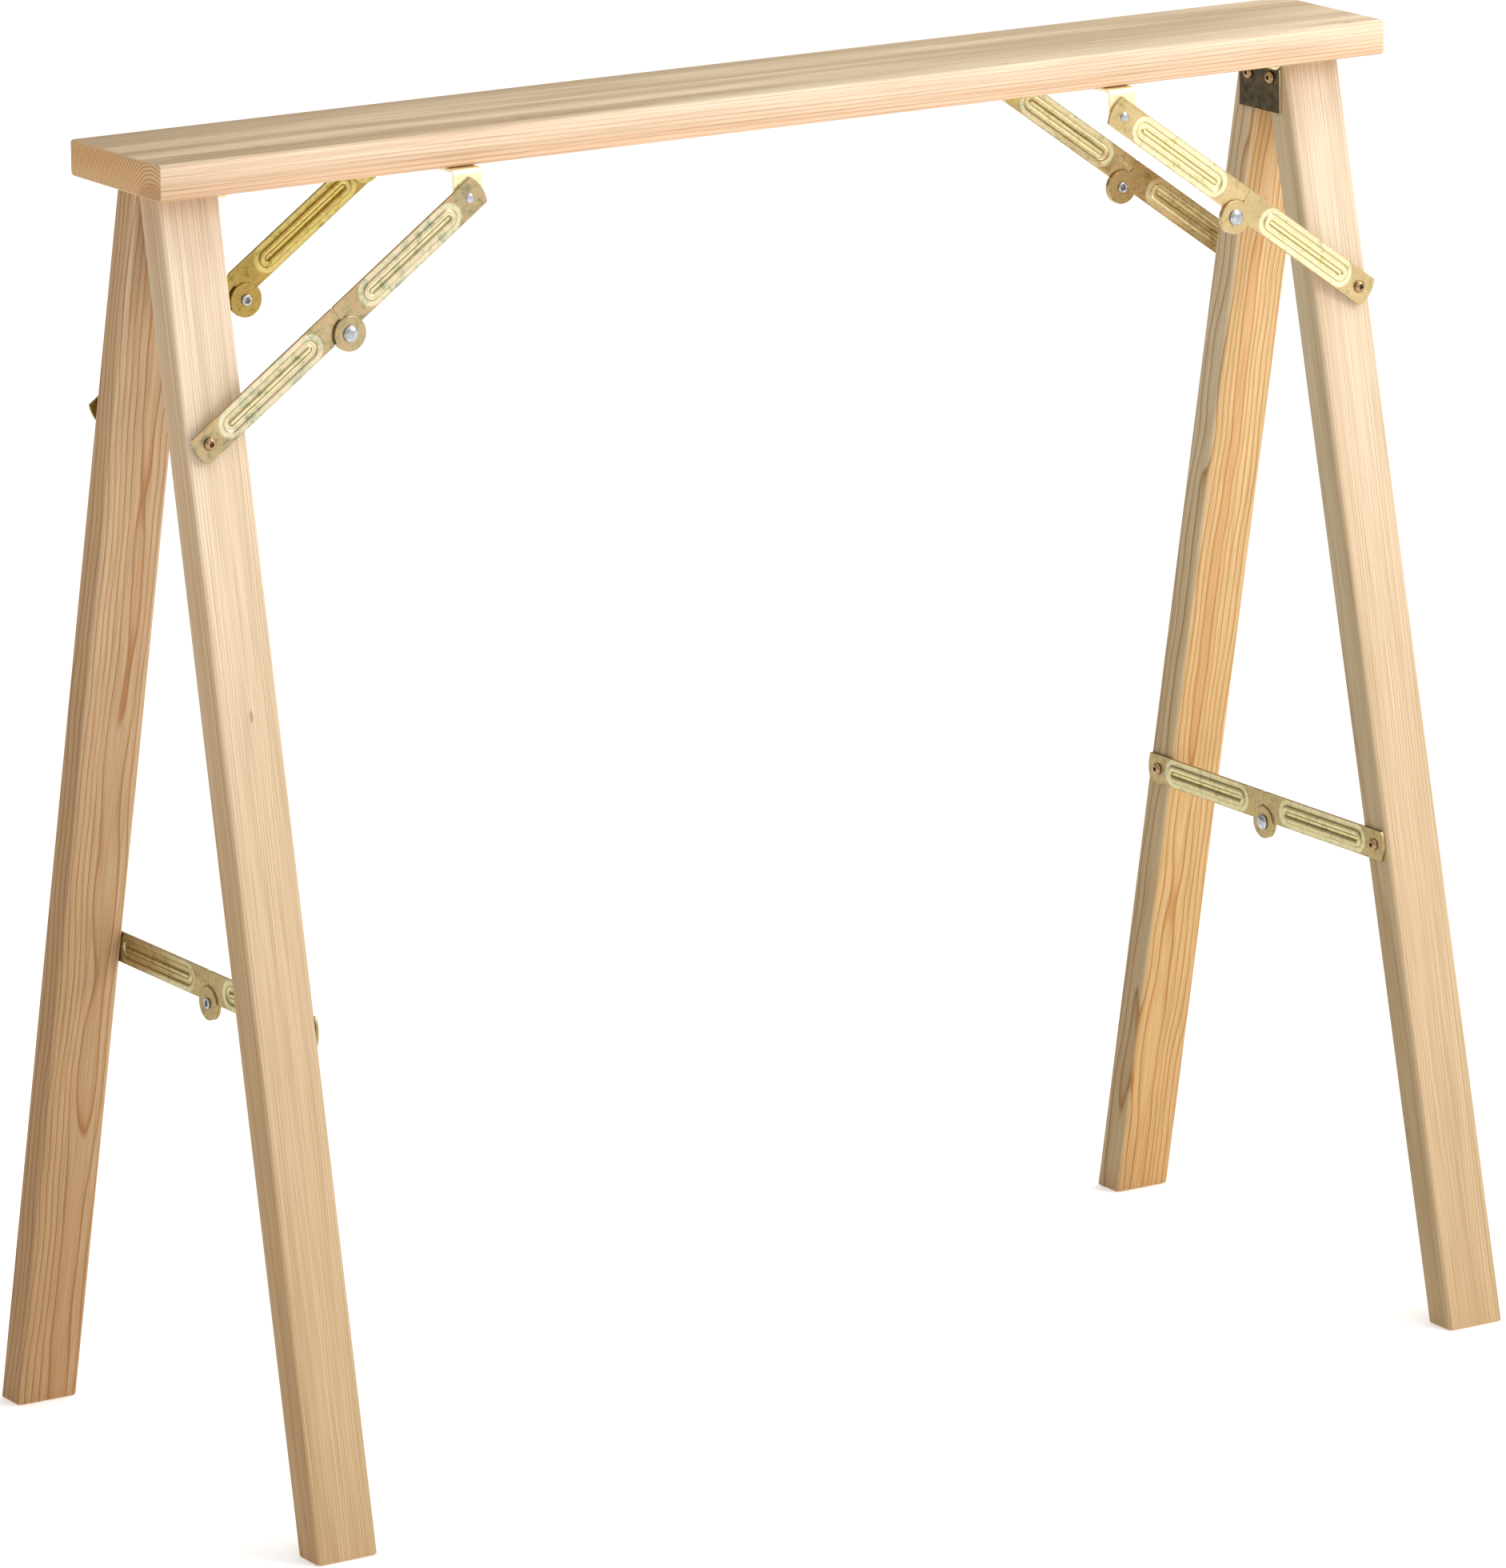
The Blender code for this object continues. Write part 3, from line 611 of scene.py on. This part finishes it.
BEAM_WOOD = {
    "tints": {"+z": (0.76, 0.76, 0.72), "-z": (0.82, 0.70, 0.56), "+y": (0.94, 0.89, 0.86),
              "-y": (0.94, 0.89, 0.90), "end": (0.74, 0.54, 0.32)},
    # painted shade: the beam darker and greyer towards its left end
    "light_fade": (-0.5, 0.5, [(0.94, 0.92, 0.89), WHITE, WHITE]),
    "pith": (-52.0, -23.0), "tilt": (0.001, 0.003), "ring": 2.7, "seed": 3.1,
    "heart": 25.0, "figure": 0.42, "wave": 5.0, "streak": 0.9,
}
# tints of a leg's faces and ends; the inner faces' tints carry painted shade besides the wood's tone
WIDE_OUT, WIDE_IN_TONE_AND_SHADE, NARROW_IN_TONE_AND_SHADE, LEG_END = WHITE, (0.91, 0.82, 0.60), (0.70, 0.72, 0.65), (0.80, 0.66, 0.46)
# painted light down each leg: paler and greyer at the top like a highlight, darker towards the foot like
# shade, with some of the wood's own warmer tone low down
LEG_LIGHT_FADE = (0.0, 0.93, [(0.95, 0.97, 1.02), (0.75, 0.70, 0.62), (0.61, 0.52, 0.39)])
# each leg's tints for its inner wide face and outer narrow face, part the wood's tone and part painted
# shade on faces turned from the light, and the way it was sawn
LEG_WOOD = {
    "right_front": (WIDE_IN_TONE_AND_SHADE, (0.78, 0.70, 0.58), {
        "pith": (58.0, -12.0), "tilt": (0.002, 0.003), "ring": 2.3, "seed": 0.7,
        "heart": 12.0, "figure": 0.40, "wave": 4.0}),
    "right_back": ((1.0, 0.88, 0.62), (0.74, 0.62, 0.47), {
        "pith": (3.0, -19.0), "tilt": (0.015, -0.006), "ring": 4.6, "seed": 2.7,
        "heart": 6.0, "figure": 1.0, "wave": 17.0}),
    "left_back": ((0.74, 0.64, 0.54), (0.66, 0.53, 0.38), {
        "pith": (-4.0, -20.0), "tilt": (-0.013, 0.005), "ring": 4.3, "seed": 3.0,
        "heart": 6.0, "figure": 0.9, "wave": 15.0}),
    "left_front": (WIDE_IN_TONE_AND_SHADE, (0.78, 0.70, 0.58), {
        "pith": (-62.0, -8.0), "tilt": (-0.002, -0.003), "ring": 2.1, "seed": 5.0,
        "heart": 12.0, "figure": 0.40, "wave": 4.0}),
}
STAY_ARM = arm(STAY_HALF, -1)
CROSS_ARMS = (arm(CROSS_Y, -1), arm(CROSS_Y, 1))
WOOD_SCREW, PIVOT_SCREW = pan_screw(SCREW_LENGTH), pan_screw(PIVOT_LENGTH)
STAY_SCREW, CROSS_SCREW = pan_screw(STAY_STUB, threads=4), pan_screw(CROSS_STUB)
SHANK, KNEE_RIVET, TOP_RIVET = leg_shank(), knee_rivet(), top_rivet()


def build_beam():
    along_x = Vector((1, 0, 0))
    cuts = (-BEAM_LENGTH / 2, along_x), (BEAM_LENGTH / 2, along_x)
    mesh = board(8, cuts, (BEAM_WIDTH / 2, BEAM_THICK / 2), BEAM_EDGE)
    piece("beam_board", mesh, timber("pine_beam", **BEAM_WOOD), "beam",
          Matrix.Translation((0, 0, UNDERSIDE + BEAM_THICK / 2)), ["beam"], angle=BOARD_SHARP)


def build_leg(tag, side, leaned):
    """A leg: the board's x runs down it, y along the end's x and z out of its outer wide face."""
    run = Vector((0.0, side * math.sin(SPLAY), -math.cos(SPLAY)))
    out = Vector((0.0, side * math.cos(SPLAY), math.sin(SPLAY)))
    wide = out.cross(run)
    start = Vector((KNUCKLE_OUT + GAP + LEG_WIDE / 2, side * GAP / 2, LEG_TOP)) + out * (LEG_THICK / 2)
    spin = Matrix((run, wide, out)).transposed().to_4x4()
    turn_back = spin.to_3x3().transposed()
    up = Vector((math.sin(LEAN), 0.0, math.cos(LEAN)))
    top = (LEG_TOP - start.z) / run.z
    foot = (up.dot(start) + PIN_Z) / math.cos(LEAN) / math.cos(SPLAY)
    cuts = (top, turn_back @ Vector((0, 0, -1))), (foot, turn_back @ -up)
    mesh = board(10, cuts, (LEG_WIDE / 2, LEG_THICK / 2), LEG_EDGE)
    # the face tints hold painted shade on the faces turned from the light
    wide_in_tone_and_shade, narrow_out_tone_and_shade, sawn = LEG_WOOD[tag]
    tints = {"+z": WIDE_OUT, "-z": wide_in_tone_and_shade, "end": LEG_END}
    tints["+y"], tints["-y"] = (narrow_out_tone_and_shade, NARROW_IN_TONE_AND_SHADE) if wide.x > 0 else (NARROW_IN_TONE_AND_SHADE, narrow_out_tone_and_shade)
    piece(f"{tag}_leg_board", mesh, timber(f"pine_{tag}", tints, LEG_LIGHT_FADE, **sawn), f"{tag}_leg",
          leaned @ Matrix.Translation(start) @ spin, [f"{tag}_leg"], angle=BOARD_SHARP)
    inside = Vector((STAY_LEG[0], side * (STAY_PLANE - SHANK_IN), STAY_LEG[1]))
    piece(f"{tag}_leg_shank", SHANK, BRONZE, f"{tag}_leg",
          leaned @ Matrix.Translation(inside) @ along((0, -side, 0)), [])


def build_hinge_screws(tag, end, side, base, leaned):
    """The upper leaf's screw into the beam, and the lower leaf's screw that the leg turns on."""
    spot = Vector((-LEAF_SCREW_X, side * SCREW_Y, KNUCKLE_IN - GAP))
    piece(f"{tag}_hinge_screw_d", WOOD_SCREW, BRONZE, "beam", base @ Matrix.Translation(spot),
          [f"{tag}_hinge_screw"])
    spot = Vector((KNUCKLE_IN - GAP, side * SCREW_Y, PIVOT_Z))
    piece(f"{tag}_pivot_screw_d", PIVOT_SCREW, BRONZE, f"{end}_leaf",
          leaned @ Matrix.Translation(spot) @ along((1, 0, 0)), [f"{tag}_pivot_screw"])


def build_diagonal_stay(tag, side, base, zinc_coat):
    """Two arms of one stamping that meet at the knee, their rivets and their screws."""
    shift = Vector((0.0, side * STAY_PLANE, 0.0))
    outward = Vector((0.0, side, 0.0))
    down = (LEG_PIVOT - TOP_PIVOT).normalized()
    corner = Vector((-down.z, 0.0, down.x))
    top, low = TOP_PIVOT + shift, LEG_PIVOT + shift
    for name, end_pivot, direction in (("upper_arm", top, down), ("lower_arm", low, -down)):
        piece(f"{tag}_{name}_d", STAY_ARM, zinc_coat, f"{tag}_{name}",
              base @ axes(end_pivot, direction, corner), [f"{tag}_{name}"], ARM_BEVEL)
    knee = (TOP_PIVOT + LEG_PIVOT) / 2 - corner * KNEE_DROP + shift
    piece(f"{tag}_joint_rivet_d", KNEE_RIVET, STEEL, f"{tag}_upper_arm",
          base @ Matrix.Translation(knee) @ along(outward), [f"{tag}_joint_rivet"])
    piece(f"{tag}_top_rivet_d", TOP_RIVET, STEEL, "beam",
          base @ Matrix.Translation(top) @ along(outward), [f"{tag}_top_rivet"])
    head = low + outward * (SHEET / 2 + GAP)
    piece(f"{tag}_leg_screw_d", STAY_SCREW, BRONZE, f"{tag}_lower_arm",
          base @ Matrix.Translation(head) @ along(-outward), [f"{tag}_leg_screw"])
    spot = Vector((STAY_TOP[0], side * FLANGE_SCREW, KNUCKLE_IN - GAP))
    piece(f"{tag}_bracket_screw_d", WOOD_SCREW, BRONZE, "beam", base @ Matrix.Translation(spot),
          [f"{tag}_bracket_screw"])


def build_cross_stay(end, leaned):
    """The stay between an end's two legs. The first leg's pivot is an opened one: a short screw."""
    first, second = ENDS[end]
    tag = f"{end}_cross"
    near, far = Vector((CROSS_X, -CROSS_Y, CROSS_Z)), Vector((CROSS_X, CROSS_Y, CROSS_Z))
    lift = Vector((SHEET / 2 + GAP, 0.0, 0.0))
    knee = (near + far) / 2 - Vector((0, 0, KNEE_DROP))
    for name, pivot, sign, mesh in ((second, far, -1, CROSS_ARMS[1]), (first, near, 1, CROSS_ARMS[0])):
        piece(f"{tag}_{name}_arm_d", mesh, ZINC["cross"], f"{tag}_{name}_arm",
              leaned @ axes(pivot, (0, sign, 0), (0, 0, 1)), [f"{tag}_{name}_arm"], ARM_BEVEL)
    piece(f"{tag}_joint_rivet_d", KNEE_RIVET, STEEL, f"{tag}_{second}_arm",
          leaned @ Matrix.Translation(knee) @ along((-1, 0, 0)), [f"{tag}_joint_rivet"])
    piece(f"{tag}_{second}_screw_d", WOOD_SCREW, BRONZE, f"{end}_{second}_leg",
          leaned @ Matrix.Translation(far - lift) @ along((1, 0, 0)), [f"{tag}_{second}_screw"])
    piece(f"{tag}_{first}_screw_d", CROSS_SCREW, BRONZE, f"{tag}_{first}_arm",
          leaned @ Matrix.Translation(near - lift) @ along((1, 0, 0)), [f"{tag}_{first}_screw"])


build_beam()
for end, names in ENDS.items():
    base, leaned = end_frame(end), end_frame(end, True)
    for side, name in zip((-1, 1), names):
        tag = f"{end}_{name}"
        build_leg(tag, side, leaned)
        build_hinge_screws(tag, end, side, base, leaned)
        build_diagonal_stay(tag, side, base, ZINC[(end, name)])
        coat(f"{tag}_bracket", ZINC[f"{name}_bracket"])
    build_cross_stay(end, leaned)
    coat(f"{end}_hinge_beam_leaf", ZINC["hinge"])
    coat(f"{end}_hinge_leg_leaf", DARK)
    coat(f"{end}_hinge_pin", STEEL)
    for node_name in ("hinge_beam_leaf", "hinge_leg_leaf", "front_bracket", "back_bracket"):
        soften(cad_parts[f"{end}_{node_name}"], LEAF_BEVEL)


# ---- floor, light, camera ---------------------------------------------------------------------
FLOOR_HALF, FLOOR_DROP, FLOOR_GLOW = 30.0, 0.0006, 0.32


def build_floor():
    g = Graph("studio_floor")
    speckle = g.noise(g.add("ShaderNodeTexCoord").outputs["Object"], 3.0, 2.0)
    g.surface(g.ramp(speckle, [(0.3, (0.90, 0.90, 0.90)), (0.7, (0.92, 0.92, 0.92))]), 0.9, 0.0)
    g.shader.inputs["Specular IOR Level"].default_value = 0.1
    g.shader.inputs["Emission Color"].default_value = (*WHITE, 1.0)
    g.shader.inputs["Emission Strength"].default_value = FLOOR_GLOW
    mesh = bpy.data.meshes.new("studio_floor")
    corners = [(u * FLOOR_HALF, v * FLOOR_HALF, 0.0) for u, v in ((-1, -1), (1, -1), (1, 1), (-1, 1))]
    mesh.from_pydata(corners, [], [(0, 1, 2, 3)])
    mesh.materials.append(g.material)
    ground = bpy.data.objects.new("studio_floor", mesh)
    ground.location = (0, 0, -FLOOR_DROP)
    bpy.context.scene.collection.objects.link(ground)


def build_world(towards, spread, strength):
    """A white surround, brighter towards one direction; spread and strength are its two ends."""
    world = bpy.data.worlds.new("studio")
    bpy.context.scene.world = world
    world.use_nodes = True
    sky = world.node_tree
    ray = sky.nodes.new("ShaderNodeTexCoord")
    side = sky.nodes.new("ShaderNodeVectorMath")
    side.operation = "DOT_PRODUCT"
    side.inputs[1].default_value = towards
    sky.links.new(ray.outputs["Generated"], side.inputs[0])
    shade = sky.nodes.new("ShaderNodeMapRange")
    for number, value in enumerate((*spread, *strength), 1):
        shade.inputs[number].default_value = value
    sky.links.new(side.outputs["Value"], shade.inputs["Value"])
    sky.nodes["Background"].inputs["Color"].default_value = (*WHITE, 1.0)
    sky.links.new(shade.outputs[0], sky.nodes["Background"].inputs["Strength"])


def build_softbox(name, place, target, size, power):
    lamp = bpy.data.lights.new(name, "AREA")
    lamp.shape = "RECTANGLE"
    lamp.size, lamp.size_y = size
    lamp.energy = power
    made = bpy.data.objects.new(name, lamp)
    made.location = place
    made.rotation_euler = (Vector(target) - Vector(place)).to_track_quat("-Z", "Y").to_euler()
    bpy.context.scene.collection.objects.link(made)


def build_camera(target, distance, azimuth, elevation, roll, focal_length):
    """Angles in degrees: azimuth 0 looks along +y."""
    azimuth, elevation = math.radians(azimuth), math.radians(elevation)
    target = Vector(target)
    place = target + distance * Vector((-math.sin(azimuth) * math.cos(elevation),
                                        -math.cos(azimuth) * math.cos(elevation), math.sin(elevation)))
    lens = bpy.data.cameras.new("camera")
    lens.lens = focal_length
    lens.sensor_width = 36.0
    lens.clip_end = 100.0
    camera = bpy.data.objects.new("camera", lens)
    look = (target - place).to_track_quat("-Z", "Y").to_matrix().to_4x4()
    camera.matrix_world = Matrix.Translation(place) @ look @ Matrix.Rotation(math.radians(roll), 4, "Z")
    bpy.context.scene.collection.objects.link(camera)
    bpy.context.scene.camera = camera


build_floor()
build_world(towards=(0.55, -0.45, 0.70), spread=(-0.7, 0.9), strength=(0.26, 1.05))
build_softbox("key", place=(2.2, -3.0, 2.5), target=(0, 0, 0.6), size=(1.4, 1.4), power=44.0)
build_softbox("top", place=(1.1, -0.4, 2.8), target=(0.2, 0, 0.7), size=(1.8, 1.4), power=22.0)
build_camera(target=(-0.006, -0.008, 0.427), distance=6.767, azimuth=32.3, elevation=14.12, roll=-0.53,
             focal_length=220.2)
bpy.context.scene.view_settings.view_transform = "Standard"
